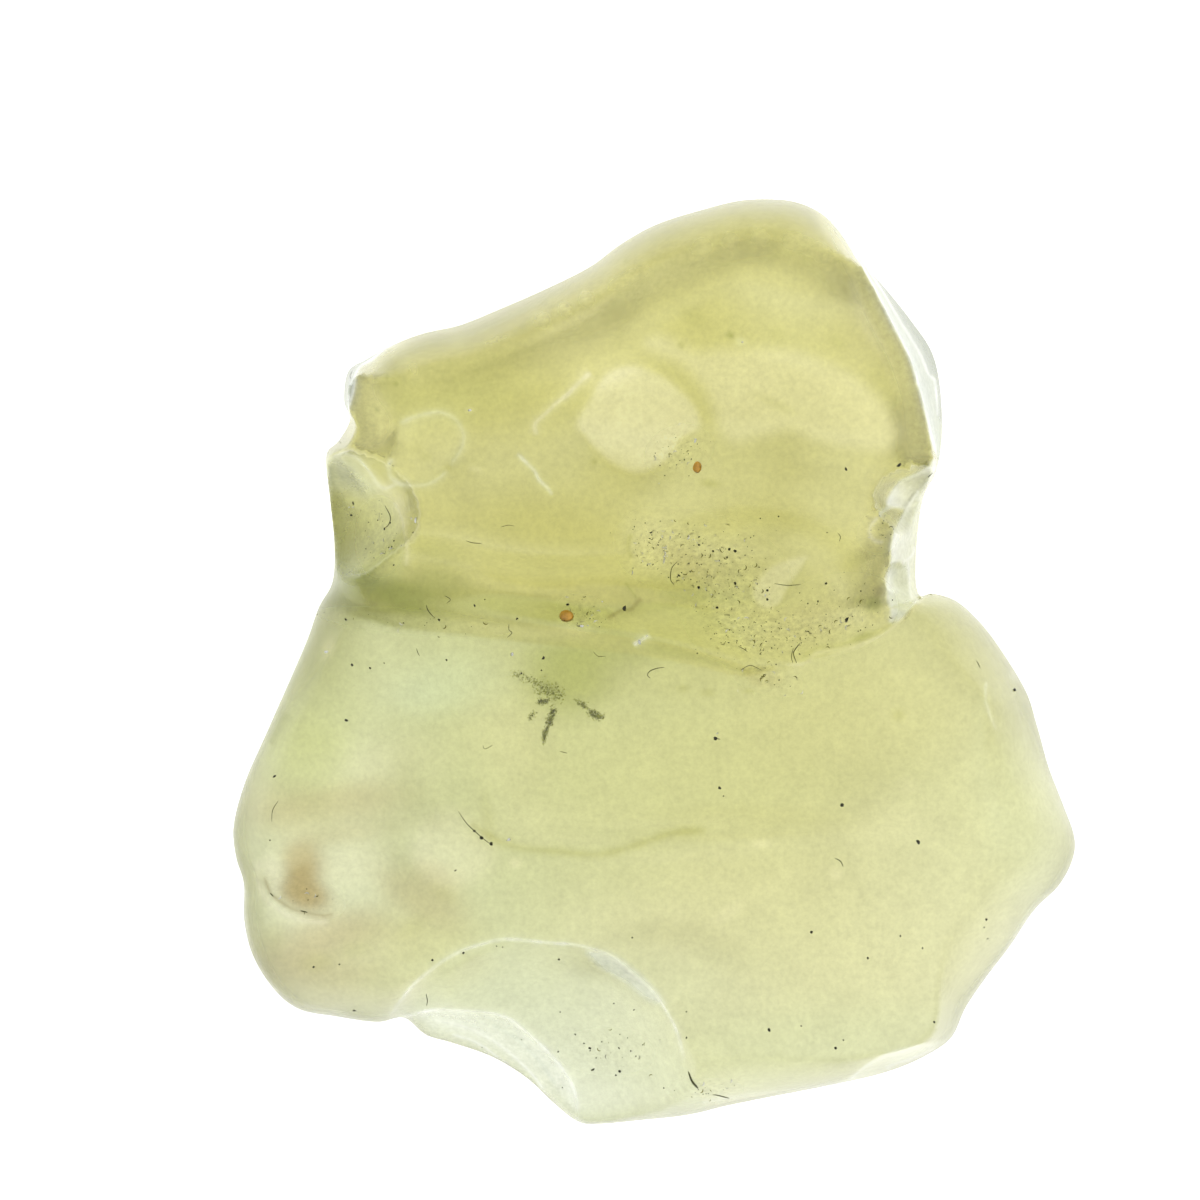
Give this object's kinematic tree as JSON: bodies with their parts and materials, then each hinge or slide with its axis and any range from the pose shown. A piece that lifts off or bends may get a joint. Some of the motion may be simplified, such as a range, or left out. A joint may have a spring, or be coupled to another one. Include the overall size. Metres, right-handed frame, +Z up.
{
  "type": "libyan desert glass",
  "caption": "Wind-worn translucent yellow-green lump of natural silica glass with conchoidal chips; rests on a small flat spot.",
  "frame": {"origin": "centre of the stone's footprint, at the height of the flat spot it rests on", "axes": "+Z up out of the flat spot, +Y towards the thick blunt end, +X towards the notch between the two lobes"},
  "size_m": [0.0422, 0.0465, 0.0155],
  "materials": {
    "desert_glass": "frosted, wind-worn, translucent pale yellow-green"
  },
  "bodies": {
    "root": {"desert_glass": "desert_glass"}
  },
  "joints": []
}
